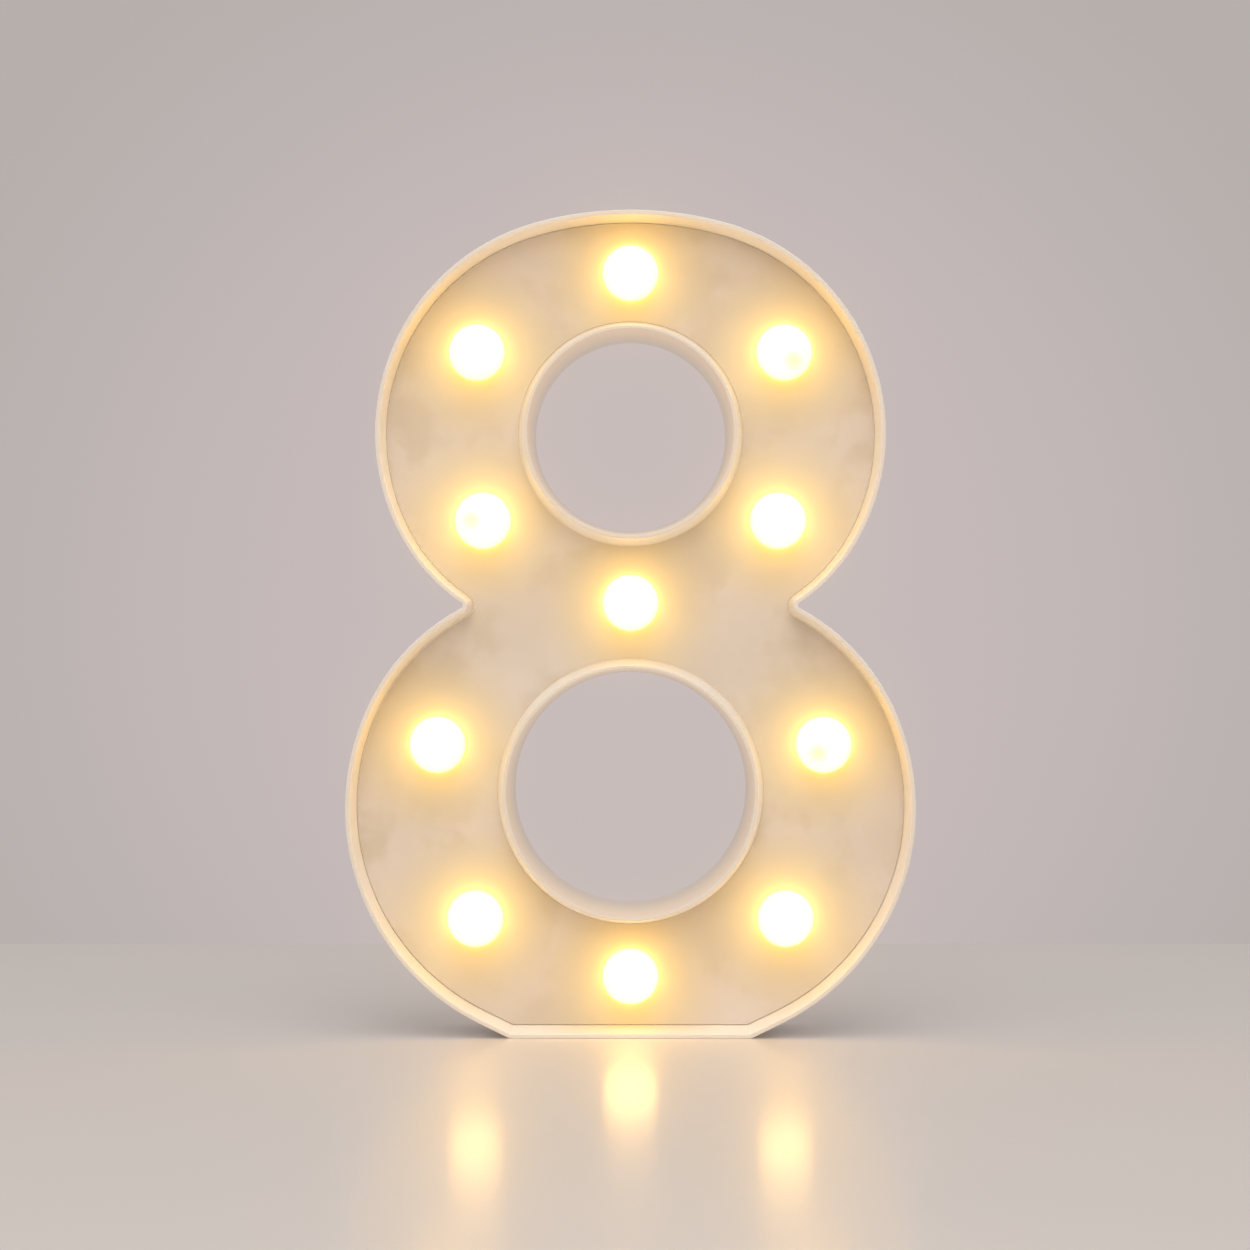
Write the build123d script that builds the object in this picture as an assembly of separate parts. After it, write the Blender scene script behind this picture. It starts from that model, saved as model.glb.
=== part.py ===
from build123d import *
import math
import os

# A battery-lit marquee numeral 8 that stands on a table or hangs from one screw.
# It faces -Y, its back is at +Y, and it stands on the plane z = 0 with x = 0 on its centre line.

# The numeral
height = 220.0
width = 151.6
depth = 45.0

# Outline, as shares of the height
upper_lobe_centre_share = 0.7303
lower_lobe_centre_share = 0.2777
lower_lobe_radius_share = 0.2892

# Upper lobe: its half width as a share of the 8's, and how much its side arcs tighten as the lobe gets flatter
upper_lobe_half_width_share = 0.8945
upper_lobe_tightening = 0.1715

# Arcs beside the waist, as shares of their lobes' side arcs
upper_waist_share = 0.8445
lower_waist_share = 0.8991

# Where each lobe's side arc turns into its tighter arc beside the waist, in degrees from +X
upper_waist_start = -28.3
lower_waist_start = 25.1

# Slope of the straight run that rises from the flat base, in degrees above the ground
base_slope = 26.0

# Small radii of the outline
notch_radius = 0.8
base_corner_radius = 1.5

# Bars above and below the counters on the centre line, and the upper counter's share of what is left
top_bar = 31.55
bottom_bar = 32.15
upper_counter_share = 0.4536

# Casing
rim = 1.2
rim_round = 0.3
channel_draft = 1.1
wall = 2.0
rear_rim = 1.2
ledge = 1.5
ledge_thickness = 1.2

# Counter tubes
counter_rim = 0.95
counter_channel_draft = 1.6
counter_draft = 1.4
tube_wall = 1.6

# Front panel
panel_thickness = 2.0
panel_gap = 0.2

# Back cover
cover_thickness = 2.0
cover_gap = 0.25

# Screws that hold the cover, and their bosses
screw_radius = 1.3
screw_length = 8.0
screw_head_radius = 2.4
screw_head_height = 1.1
screw_head_gap = 0.15
screw_gap = 0.05
cross_width = 0.7
cross_length = 2.8
cross_depth = 0.6
boss_radius = 3.2
boss_inset = 5.0
boss_spare_depth = 2.0
boss_end = 1.5
upper_boss_angles = (65.0, -5.0)
lower_boss_angles = (5.0, -58.0)

# Bulb places along the chain of wires: x as a share of half the width, z as a share of the height
bulb_place_shares = (
    (0.520, 0.6255),
    (0.542, 0.8300),
    (0.000, 0.9260),
    (-0.542, 0.8300),
    (-0.520, 0.6255),
    (0.000, 0.5260),
    (0.681, 0.3536),
    (0.547, 0.1423),
    (0.000, 0.0723),
    (-0.547, 0.1423),
    (-0.681, 0.3536),
)

# Bulb covers
globe_radius = 7.5
globe_wall = 1.1
globe_height = 6.0
collar_radius = 5.4
neck_radius = 4.2
neck_gap = 0.05
neck_tail = 2.5
bead_height = 0.4
bead_land = 0.4
bead_length = 1.0

# LEDs
led_radius = 2.5
led_bore_gap = 0.05
led_length = 8.6
led_flange_radius = 2.9
led_flange = 1.0
led_flat = 0.4
lead_width = 0.5
lead_length = 2.4
lead_pitch = 2.54
solder_gap = 0.05

# Wires
wire_radius = 0.6
wire_bend = 5.0
wire_end_bend = 3.0
wire_stub = 3.0
wire_zone = 1.85
battery_lead_radius = 0.55

# Cells
cell_diameter = 14.5
cell_length = 50.5
nub_radius = 2.75
nub_length = 1.0
cell_edge = 0.7
cell_spacing = 0.5

# Battery box
cell_side_gap = 0.35
cell_floor_gap = 0.3
cell_head_gap = 0.8
box_wall = 1.2
box_end_wall = 1.6
box_floor = 1.4
box_tube_gap = 0.66
ridge_width = 3.0
ridge_height = 2.5
ridge_end_gap = 8.0
ear_radius = 3.5
ear_reach = 4.8
ear_depth = 4.0
ear_offset = 10.0
box_screw_length = 4.6

# Contacts
plate_thickness = 0.3
plate_size = 12.4
plate_lift = 0.8
tab_width = 3.0
tab_reach = 6.5
tab_slot_gap = 0.2
contact_gap = 0.05
spring_length = 5.0
spring_radius = 3.2
spring_wire_radius = 0.3
spring_turns = 3.5
spring_samples = 100

# Battery door
door_thickness = 1.7
door_sink = 0.1
door_lap = 0.8
door_gap = 0.25
hinge_pin_radius = 0.55
hinge_pin_length = 0.9
hinge_pin_gap = 0.05
hinge_pin_end_gap = 0.35
latch_width = 9.0
latch_reach = 2.2
latch_slot = 0.8
latch_slot_length = 9.0
latch_gap = 0.6
finger_radius = 4.0
grip_count = 3
grip_width = 0.8
grip_pitch = 1.7
grip_depth = 0.4

# Slide switch, its place as shares of half the width and of the height
switch_x_share = 0.541
switch_z_share = 0.427
switch_travel = 3.0
switch_flange_length = 19.6
switch_flange_width = 6.6
switch_flange = 0.5
switch_can_length = 12.7
switch_can_width = 6.6
switch_can_depth = 5.5
switch_can_wall = 0.4
switch_board = 1.2
switch_gap = 0.05
switch_screw_pitch = 15.0
terminal_pitch = 3.0
terminal_width = 1.2
terminal_thickness = 0.4
terminal_length = 3.5
knob_length = 4.0
knob_width = 3.4
knob_sink = 0.3
knob_clearance = 0.3
slider_length = 6.0
slider_width = 5.2
slider_thickness = 1.5
slider_gap = 0.3
knob_groove = 0.5
knob_groove_depth = 0.4
knob_groove_pitch = 1.2
pocket_length = 21.5
pocket_width = 8.4
pocket_depth = 3.0
pocket_corner = 2.0
pocket_wall = 1.2
switch_screw_radius = 0.95
switch_screw_length = 3.5
switch_screw_head_radius = 1.8
switch_screw_head_height = 1.2
switch_screw_gap = 0.05
switch_screw_clearance = 0.15
switch_cross_width = 0.5
switch_cross_length = 2.2

# Resistor
resistor_radius = 1.2
resistor_length = 6.3
resistor_lead_radius = 0.25
resistor_lead = 8.0
resistor_x_gap = 6.8

# Keyhole for one wall screw
keyhole_entry_radius = 4.0
keyhole_slot_radius = 2.0
keyhole_rise = 7.0
keyhole_drop = 18.0

# How far a cutting shape runs past the face that it opens
overrun = 1.0

# Places along the depth, from the front to the back
back = depth / 2
front = -back
cover_front = back - cover_thickness
cell_back = cover_front - cell_head_gap
cell_middle = cell_back - cell_diameter / 2
box_inside = cell_back - cell_diameter - cell_floor_gap
box_front = box_inside - box_floor
battery_lead_depth = box_front - wire_zone / 2
wire_depth = box_front - wire_zone - wire_radius
lead_end = wire_depth - wire_radius - solder_gap
led_back = lead_end - lead_length
neck_back = led_back - led_flange
panel_back = neck_back - neck_tail
panel_front = panel_back - panel_thickness
ledge_back = panel_back + ledge_thickness

# Battery box and cell sizes across
box_inner_height = 2 * cell_diameter + cell_spacing + 2 * cell_side_gap
box_height = box_inner_height + 2 * box_wall
box_inner_length = cell_length + spring_length + 2 * plate_thickness
box_length = box_inner_length + 2 * box_end_wall
cell_pitch = cell_diameter + cell_spacing


def tube_growth(y):
    """How much larger than its front opening a counter tube is, outside, at the depth y."""
    return tube_wall - counter_draft * (y - front) / depth


# Counters: the bar between them leaves room for the battery box
waist_bar = box_height + 2 * box_tube_gap + 2 * tube_growth(box_front)
counter_total = height - top_bar - waist_bar - bottom_bar
upper_counter_radius = counter_total * upper_counter_share / 2
lower_counter_radius = counter_total / 2 - upper_counter_radius
upper_counter_height = height - top_bar - upper_counter_radius
lower_counter_height = bottom_bar + lower_counter_radius
waist_height = lower_counter_height + lower_counter_radius + waist_bar / 2
counters = (
    (upper_counter_height, upper_counter_radius),
    (lower_counter_height, lower_counter_radius),
)

# Centres of the outline's arcs
half_width = width / 2
upper_half_width = half_width * upper_lobe_half_width_share
upper_drop = height - height * upper_lobe_centre_share
upper_lobe_radius = upper_drop * (upper_drop / upper_half_width) ** upper_lobe_tightening
upper_waist_radius = upper_lobe_radius * upper_waist_share
lower_lobe_radius = height * lower_lobe_radius_share
lower_waist_radius = lower_lobe_radius * lower_waist_share
upper_lobe_x = upper_half_width - upper_lobe_radius
upper_lobe_centre = Vector(upper_lobe_x, height - upper_drop)
lower_lobe_centre = Vector(half_width - lower_lobe_radius, height * lower_lobe_centre_share)

# The arc over the top passes through the crown and meets the side arcs without a corner
top_radius = (upper_lobe_x ** 2 + upper_drop ** 2 - upper_lobe_radius ** 2) / (2 * (upper_drop - upper_lobe_radius))
top_centre = Vector(0, height - top_radius)


def polar(centre, radius, degrees):
    """The point at an angle from +X on a circle in the front view."""
    angle = math.radians(degrees)
    return centre + Vector(math.cos(angle), math.sin(angle)) * radius


upper_waist_centre = polar(upper_lobe_centre, upper_lobe_radius - upper_waist_radius, upper_waist_start)
lower_waist_centre = polar(lower_lobe_centre, lower_lobe_radius - lower_waist_radius, lower_waist_start)

# Bulbs and the switch in front view
bulb_places = [(half_width * across, height * up) for across, up in bulb_place_shares]
switch_x = half_width * switch_x_share
switch_z = height * switch_z_share
resistor_x = -box_length / 2 - resistor_x_gap


# Shared shapes

def upright(face, y):
    """Stand a face that is drawn in x and z up at the depth y."""
    return Pos(0, y, 0) * Rot(90, 0, 0) * face


def slab(face, start, end):
    """The face, drawn in x and z, as a slab from one depth to another."""
    return extrude(upright(face, start), amount=end - start, dir=(0, 1, 0))


def tapered(front_face, start, back_face, end):
    """A straight-sided solid between two like outlines at two depths."""
    return loft([upright(front_face, start), upright(back_face, end)], ruled=True)


def disc(x, z, radius):
    """A round face in the front view."""
    return Pos(x, z) * Circle(radius)


def rod(x, z, radius, start, end):
    """A round bar along the depth."""
    return slab(disc(x, z, radius), start, end)


def tapered_rod(x, z, start_radius, start, end_radius, end):
    """A cone along the depth."""
    cone = Cone(start_radius, end_radius, end - start, align=(Align.CENTER, Align.CENTER, Align.MIN))
    return Pos(x, start, z) * Rot(-90, 0, 0) * cone


def block(x0, x1, y0, y1, z0, z1):
    """A box between two corners."""
    return Pos(x0, y0, z0) * Box(x1 - x0, y1 - y0, z1 - z0, align=Align.MIN)


def block_at(x, z, length, width_up, start, end):
    """A box centred in the front view, from one depth to another."""
    return slab(Pos(x, z) * Rectangle(length, width_up), start, end)


def mirrored(point):
    """The same point on the other side of the centre line."""
    return Vector(-point.X, point.Y)


# The outline of the 8

def notch_centre():
    """Centre of the small round where the two lobes meet."""
    upper_reach = upper_waist_radius + notch_radius
    lower_reach = lower_waist_radius + notch_radius
    between = lower_waist_centre - upper_waist_centre
    along = (upper_reach ** 2 - lower_reach ** 2 + between.length ** 2) / (2 * between.length)
    aside = math.sqrt(upper_reach ** 2 - along ** 2)
    direction = between.normalized()
    outwards = Vector(-direction.Y, direction.X)
    return upper_waist_centre + direction * along + outwards * aside


def half_outline(inset):
    """Edges of the right half from the shoulder to the base, all moved inwards by the inset."""
    centre = notch_centre()
    shoulder_way = (upper_lobe_centre - top_centre) / (top_radius - upper_lobe_radius)
    shoulder = top_centre + shoulder_way * (top_radius - inset)
    upper = upper_lobe_radius - inset
    lower = lower_lobe_radius - inset
    notch = notch_radius + inset
    upper_way = (centre - upper_waist_centre).normalized()
    lower_way = (centre - lower_waist_centre).normalized()
    notch_top = centre - upper_way * notch
    notch_bottom = centre - lower_way * notch
    notch_way = (notch_top - centre + notch_bottom - centre).normalized()
    upper_joint = polar(upper_lobe_centre, upper, upper_waist_start)
    lower_joint = polar(lower_lobe_centre, lower, lower_waist_start)
    upper_joint_way = polar(Vector(), 1, upper_waist_start)
    lower_joint_way = polar(Vector(), 1, lower_waist_start)
    upper_middle = (upper_way + upper_joint_way).normalized() * (upper_waist_radius - inset)
    lower_middle = (lower_way + lower_joint_way).normalized() * (lower_waist_radius - inset)
    slope = math.radians(base_slope)
    run_normal = Vector(math.sin(slope), -math.cos(slope))
    run_way = Vector(-math.cos(slope), -math.sin(slope))
    run_top = lower_lobe_centre + run_normal * lower
    corner = run_top + run_way * ((run_top.Y - inset) / math.sin(slope))
    corner_cut = base_corner_radius * math.tan(slope / 2)
    run_bottom = corner - run_way * corner_cut
    base_end = corner - Vector(corner_cut, 0)
    return base_end, [
        ThreePointArc(shoulder, upper_lobe_centre + Vector(upper, 0), upper_joint),
        ThreePointArc(upper_joint, upper_waist_centre + upper_middle, notch_top),
        ThreePointArc(notch_top, centre + notch_way * notch, notch_bottom),
        ThreePointArc(notch_bottom, lower_waist_centre + lower_middle, lower_joint),
        ThreePointArc(lower_joint, lower_lobe_centre + Vector(lower, 0), run_top),
        Line(run_top, run_bottom),
        TangentArc(run_bottom, base_end, tangent=run_way),
    ]


def numeral_face(inset):
    """The filled 8, without its counters, all moved inwards by the inset."""
    base_end, right = half_outline(inset)
    shoulder = right[0] @ 0
    crown = Vector(0, height - inset)
    left = [edge.mirror(Plane.YZ) for edge in right]
    top = ThreePointArc(mirrored(shoulder), crown, shoulder)
    base = Line(base_end, mirrored(base_end))
    return make_face(Wire([top, *right, base, *left]))


def boss_places():
    """Where the cover's screws go, the same distance inside the outline everywhere."""
    places = []
    for centre, radius, angles in (
        (upper_lobe_centre, upper_lobe_radius, upper_boss_angles),
        (lower_lobe_centre, lower_lobe_radius, lower_boss_angles),
    ):
        for degrees in angles:
            place = polar(centre, radius - boss_inset, degrees)
            places += [(place.X, place.Y), (-place.X, place.Y)]
    return places


def ear_places():
    """Where the battery box is screwed to the cover: one ear at each short end."""
    ear_x = box_length / 2 + ear_reach
    return [(-ear_x, waist_height + ear_offset), (ear_x, waist_height - ear_offset)]


# Casing: the outer wall, with a ledge behind the panel and a boss for each of the cover's screws

def make_casing():
    panel_inset = rim + channel_draft
    shell = slab(numeral_face(0), front, back)
    shell -= tapered(numeral_face(rim), front, numeral_face(panel_inset), panel_front)
    shell -= slab(numeral_face(panel_inset), panel_front, panel_back)
    shell -= slab(numeral_face(panel_inset + ledge), panel_back, ledge_back)
    shell -= slab(numeral_face(wall), ledge_back, cover_front)
    shell -= slab(numeral_face(rear_rim), cover_front, back)
    pilot_end = cover_front - screw_length - boss_spare_depth
    for x, z in boss_places():
        shell += rod(x, z, boss_radius, pilot_end - boss_end, cover_front)
        shell -= rod(x, z, screw_radius + screw_gap, pilot_end, cover_front + overrun)
    rims = shell.edges().filter_by_position(Axis.Y, front, front)
    rims += shell.edges().filter_by_position(Axis.Y, back, back)
    return fillet(rims, rim_round)


# Counter tubes: each goes through the panel from behind until its flange meets it

def channel_tube_radius(front_radius):
    """Outer radius of a counter tube where it meets the panel."""
    return front_radius + counter_rim + counter_channel_draft


def make_counter_tube(z, radius):
    base_radius = channel_tube_radius(radius)
    tube = tapered_rod(0, z, radius + counter_rim, front, base_radius, panel_front)
    tube += rod(0, z, base_radius, panel_front, panel_back)
    tube += rod(0, z, base_radius + ledge, panel_back, ledge_back)
    tube += tapered_rod(0, z, radius + tube_growth(ledge_back), ledge_back, radius + tube_growth(back), back)
    tube -= tapered_rod(0, z, radius, front, radius - counter_draft, back)
    return fillet(tube.edges().filter_by_position(Axis.Y, front, front), rim_round)


# Front panel: a flat sheet glued to the casing's ledge and to the tubes' flanges

def make_front_panel():
    face = numeral_face(rim + channel_draft + panel_gap)
    for z, radius in counters:
        face -= disc(0, z, channel_tube_radius(radius) + panel_gap)
    for x, z in bulb_places:
        face -= disc(x, z, neck_radius + neck_gap)
    return slab(face, panel_front, panel_back)


# Bulb covers: hollow globes whose necks snap through the panel

def make_bulb_cover(x, z):
    seat = panel_thickness + neck_gap
    neck_end = neck_back - panel_front
    bore = led_radius + led_bore_gap
    inner_radius = globe_radius - globe_wall
    outer_start = globe_height - math.sqrt(globe_radius ** 2 - collar_radius ** 2)
    inner_end = globe_height - math.sqrt(inner_radius ** 2 - bore ** 2)
    neck = Polyline(
        (bore, inner_end),
        (bore, -neck_end),
        (neck_radius, -neck_end),
        (neck_radius, -seat - bead_length),
        (neck_radius + bead_height, -seat - bead_land),
        (neck_radius + bead_height, -seat),
        (neck_radius, -seat),
        (neck_radius, 0),
        (collar_radius, 0),
        (collar_radius, outer_start),
    )
    outer_top = Vector(0, globe_height + globe_radius)
    inner_top = Vector(0, globe_height + inner_radius)
    outer = ThreePointArc((collar_radius, outer_start), (globe_radius, globe_height), outer_top)
    inner = ThreePointArc(inner_top, (inner_radius, globe_height), (bore, inner_end))
    profile = make_face(Wire([*neck.edges(), outer, Line(outer_top, inner_top), inner]))
    cover = revolve(Rot(90, 0, 0) * profile, Axis.Z)
    return Pos(x, panel_front, z) * Rot(90, 0, 0) * cover


# LEDs: a round lens with a flange, flat on one side, and two leads

def chain_way(index):
    """Unit direction of the wires where they pass the bulb with this index."""
    ways = []
    for start in (index - 1, index):
        if 0 <= start < len(bulb_places) - 1:
            ways.append((Vector(*bulb_places[start + 1]) - Vector(*bulb_places[start])).normalized())
    return sum(ways, Vector()).normalized()


def make_led(index):
    x, z = bulb_places[index]
    lens_top = led_length - led_radius
    profile = make_face(
        Wire([
            Line((0, 0), (led_flange_radius, 0)),
            Line((led_flange_radius, 0), (led_flange_radius, led_flange)),
            Line((led_flange_radius, led_flange), (led_radius, led_flange)),
            Line((led_radius, led_flange), (led_radius, lens_top)),
            ThreePointArc(
                (led_radius, lens_top),
                (led_radius * math.sqrt(2) / 2, lens_top + led_radius * math.sqrt(2) / 2),
                (0, led_length),
            ),
            Line((0, led_length), (0, 0)),
        ])
    )
    led = revolve(Rot(90, 0, 0) * profile, Axis.Z)
    flat = Pos(led_flange_radius - led_flat, 0, 0) * Box(
        led_flange_radius, 2 * led_flange_radius, led_flange, align=(Align.MIN, Align.CENTER, Align.MIN)
    )
    led -= flat
    for side in (-1, 1):
        lead = Box(lead_width, lead_width, lead_length, align=(Align.CENTER, Align.CENTER, Align.MAX))
        led += Pos(side * lead_pitch / 2, 0, 0) * lead
    way = chain_way(index)
    turn = math.degrees(math.atan2(way.Y, way.X)) + 90
    return Pos(x, led_back, z) * Rot(90, 0, 0) * Rot(0, 0, turn) * led


# Wires

def tube_along(points, radii, radius):
    """A round wire along straight runs joined by arcs."""
    path = FilletPolyline(*points, radius=radii)
    start = Plane(origin=path @ 0, z_dir=path % 0)
    wire = sweep(start * Circle(radius), path=path)
    expected = math.pi * radius ** 2 * path.length
    print("wire", round(path.length, 1), "mm, volume ratio", round(wire.volume / expected, 4), "radii", radii)
    return wire


def chain_corners(side):
    """Corners of a wire that passes every bulb's lead on the given side of the chain."""
    corners = []
    places = [Vector(*place) for place in bulb_places]
    for index, place in enumerate(places):
        way = chain_way(index)
        normal = Vector(-way.Y, way.X)
        outwards = 0
        if 0 < index < len(places) - 1:
            way_in = (place - places[index - 1]).normalized()
            way_out = (places[index + 1] - place).normalized()
            cross = way_in.X * way_out.Y - way_in.Y * way_out.X
            half_turn = math.radians(way_in.get_angle(way_out)) / 2
            outwards = -math.copysign(wire_bend / math.cos(half_turn) - wire_bend, cross)
        corner = place + normal * (side * lead_pitch / 2 + outwards)
        corners.append(Vector(corner.X, wire_depth, corner.Y))
    return corners


def terminal_back():
    """Depth of the tips of the switch's terminals."""
    return switch_can_front() - terminal_length


def make_positive_wire():
    corners = chain_corners(1)
    way = chain_way(len(bulb_places) - 1)
    start = Vector(switch_x, terminal_back() - solder_gap, switch_z)
    turn = Vector(switch_x, wire_depth, switch_z)
    stub = corners[-1] + Vector(way.X, 0, way.Y) * wire_stub
    radii = [wire_end_bend] + [wire_bend] * len(bulb_places[:-1])
    return tube_along([start, turn, *corners[:-1], stub], radii, wire_radius)


def make_negative_wire():
    corners = chain_corners(-1)
    way = chain_way(0)
    stub = corners[0] - Vector(way.X, 0, way.Y) * wire_stub
    end = Vector(resistor_x, cell_middle - resistor_lead_radius - solder_gap, resistor_end() + wire_stub)
    turn = Vector(resistor_x, wire_depth, resistor_end() + wire_stub)
    radii = [wire_bend] * len(bulb_places[1:]) + [wire_end_bend]
    return tube_along([stub, *corners[1:], turn, end], radii, wire_radius)


def make_battery_lead():
    tab_x = -box_length / 2 - tab_reach / 2
    tab_z = waist_height + cell_pitch / 2
    end_x = switch_x - terminal_pitch
    points = [
        Vector(tab_x, cell_middle - plate_thickness / 2 - solder_gap, tab_z),
        Vector(tab_x, battery_lead_depth, tab_z),
        Vector(box_length / 2 + wire_stub, battery_lead_depth, waist_height - ear_offset),
        Vector(end_x, battery_lead_depth, switch_z),
        Vector(end_x, terminal_back() - solder_gap, switch_z),
    ]
    radii = [wire_end_bend, wire_bend, wire_end_bend]
    return tube_along(points, radii, battery_lead_radius)


# Resistor: upright beside the battery box, under the negative tab

def resistor_top():
    return waist_height - cell_pitch / 2 - tab_width / 2 - solder_gap


def resistor_end():
    return resistor_top() - 2 * resistor_lead - resistor_length


def make_resistor():
    upwards = (Align.CENTER, Align.CENTER, Align.MIN)
    leads = Cylinder(resistor_lead_radius, 2 * resistor_lead + resistor_length, align=upwards)
    body = Cylinder(resistor_radius, resistor_length, align=upwards)
    body = fillet(body.edges(), resistor_radius / 2)
    return Pos(resistor_x, cell_middle, resistor_end()) * (leads + Pos(0, 0, resistor_lead) * body)


# Cells

def make_cell(z, nub_side):
    """An AA cell along X whose nub points to the given side."""
    along = (Align.CENTER, Align.CENTER, Align.MIN)
    body = Cylinder(cell_diameter / 2, cell_length - nub_length, align=along)
    body = fillet(body.edges(), cell_edge)
    nub = Pos(0, 0, cell_length - nub_length) * Cylinder(nub_radius, nub_length, align=along)
    start = box_inner_length / 2 - plate_thickness - contact_gap - cell_length
    cell = Pos(start, cell_middle, z) * Rot(0, 90, 0) * (body + nub)
    return cell if nub_side > 0 else Rot(0, 0, 180) * Pos(0, -2 * cell_middle, 0) * cell


# Battery box: an open tray with an ear at each short end

def make_battery_box():
    box = block_at(0, waist_height, box_length, box_height, box_front, cover_front)
    box -= block_at(0, waist_height, box_inner_length, box_inner_height, box_inside, cover_front)
    ridge_length = box_inner_length - 2 * ridge_end_gap
    box += block_at(0, waist_height, ridge_length, ridge_width, box_inside, box_inside + ridge_height)
    ear_start = cover_front - ear_depth
    for x, z in ear_places():
        wall_x = math.copysign(box_length / 2, x)
        box += rod(x, z, ear_radius, ear_start, cover_front)
        box += block(min(wall_x, x), max(wall_x, x), ear_start, cover_front, z - ear_radius, z + ear_radius)
        box -= rod(x, z, screw_radius + screw_gap, ear_start - overrun, cover_front + overrun)
    for z in tab_heights():
        box -= block(
            -box_length / 2 - overrun,
            -box_inner_length / 2 + overrun,
            cell_middle - plate_thickness / 2 - tab_slot_gap,
            cell_middle + plate_thickness / 2 + tab_slot_gap,
            z - tab_width / 2 - tab_slot_gap,
            z + tab_width / 2 + tab_slot_gap,
        )
    return box


# Contacts

def tab_heights():
    """Heights of the two cells' centre lines, the upper one first."""
    return waist_height + cell_pitch / 2, waist_height - cell_pitch / 2


def make_end_plate(z):
    """A contact plate at the -X end, with a tab through the box's wall."""
    inner = -box_inner_length / 2
    start = box_inside + plate_lift
    plate = block(
        inner, inner + plate_thickness, start, start + plate_size, z - plate_size / 2, z + plate_size / 2
    )
    tab = block(
        inner - box_end_wall - tab_reach,
        inner,
        cell_middle - plate_thickness / 2,
        cell_middle + plate_thickness / 2,
        z - tab_width / 2,
        z + tab_width / 2,
    )
    return plate + tab


def make_bridge_plate():
    """The plate at the +X end that joins the two cells."""
    inner = box_inner_length / 2
    start = box_inside + plate_lift
    reach = (cell_pitch + plate_size) / 2
    return block(
        inner - plate_thickness, inner, start, start + plate_size, waist_height - reach, waist_height + reach
    )


def make_spring():
    """A coil spring along +Z, one unbroken wire on pairs of arcs, a pair for each half turn."""
    pitch = (spring_length - contact_gap - 2 * spring_wire_radius) / spring_turns
    rise = pitch / (2 * math.pi)
    half_turns = round(2 * spring_turns)
    edges = []
    for step in range(half_turns):
        ends = []
        for angle in (step * math.pi, (step + 1) * math.pi):
            point = Vector(spring_radius * math.cos(angle), spring_radius * math.sin(angle), rise * angle)
            tangent = Vector(-spring_radius * math.sin(angle), spring_radius * math.cos(angle), rise)
            ends.append((point, tangent.normalized()))
        (start, start_way), (end, end_way) = ends
        chord = end - start
        bend = 1 - start_way.dot(end_way)
        reach = chord.dot(start_way + end_way)
        handle = (math.sqrt(reach ** 2 + 2 * bend * chord.dot(chord)) - reach) / (2 * bend)
        middle = (start + end + (start_way - end_way) * handle) / 2
        middle_way = (end - end_way * handle - start - start_way * handle).normalized()
        edges += [
            TangentArc(start, middle, tangent=start_way),
            TangentArc(middle, end, tangent=middle_way),
        ]
    path = Wire(edges)
    section = Plane(origin=path @ 0, z_dir=path % 0) * Circle(spring_wire_radius)
    samples = [path @ (index / spring_samples) for index in range(spring_samples + 1)]
    half_turn = round(spring_samples / half_turns)
    gap = min(
        (second - first).length
        for index, first in enumerate(samples)
        for second in samples[index + half_turn:]
    )
    print("spring least gap to itself", round(gap - 2 * spring_wire_radius, 2), "mm")
    return Pos(0, 0, spring_wire_radius) * sweep(section, path=path)


def place_spring(spring, z, side):
    """The spring between its plate at the given end and the cell's flat end."""
    x = side * (box_inner_length / 2 - plate_thickness)
    return Pos(x, cell_middle, z) * Rot(0, -90 * side, 0) * spring


# Battery door: a flat lid on two pins, with a springy latch tongue at its other end

door_back = back - door_sink
door_front = door_back - door_thickness
window_length = box_inner_length + 2 * door_lap
window_height = box_inner_height + 2 * door_lap
hinge_x = -window_length / 2 + door_gap + door_thickness / 2
hinge_y = (door_front + door_back) / 2


def make_battery_door():
    half_length = window_length / 2 - door_gap
    half_height = window_height / 2 - door_gap
    low = waist_height - half_height
    high = waist_height + half_height
    upwards = (Align.CENTER, Align.CENTER, Align.MIN)
    door = block(hinge_x, half_length, door_front, door_back, low, high)
    door += Pos(hinge_x, hinge_y, low) * Cylinder(door_thickness / 2, high - low, align=upwards)
    pin_span = high - low + 2 * hinge_pin_length
    door += Pos(hinge_x, hinge_y, low - hinge_pin_length) * Cylinder(hinge_pin_radius, pin_span, align=upwards)
    tongue_low = waist_height - latch_width / 2
    tongue_high = waist_height + latch_width / 2
    tip = half_length + latch_reach
    door += block(half_length, tip, door_front, door_back, tongue_low, tongue_high)
    for start in (tongue_low - latch_slot, tongue_high):
        door -= block(
            half_length - latch_slot_length, tip, door_front - overrun, back, start, start + latch_slot
        )
    for index in range(grip_count):
        groove_end = tip - grip_pitch * (index + 1)
        door -= block(groove_end, groove_end + grip_width, door_back - grip_depth, back, tongue_low, tongue_high)
    return door


# Back cover: a flat plate with the battery window, the keyhole and the switch pocket

def keyhole_face():
    entry_z = height - keyhole_drop
    entry = disc(0, entry_z, keyhole_entry_radius)
    slot = Pos(0, entry_z + keyhole_rise / 2) * Rectangle(2 * keyhole_slot_radius, keyhole_rise)
    return entry + slot + disc(0, entry_z + keyhole_rise, keyhole_slot_radius)


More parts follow.
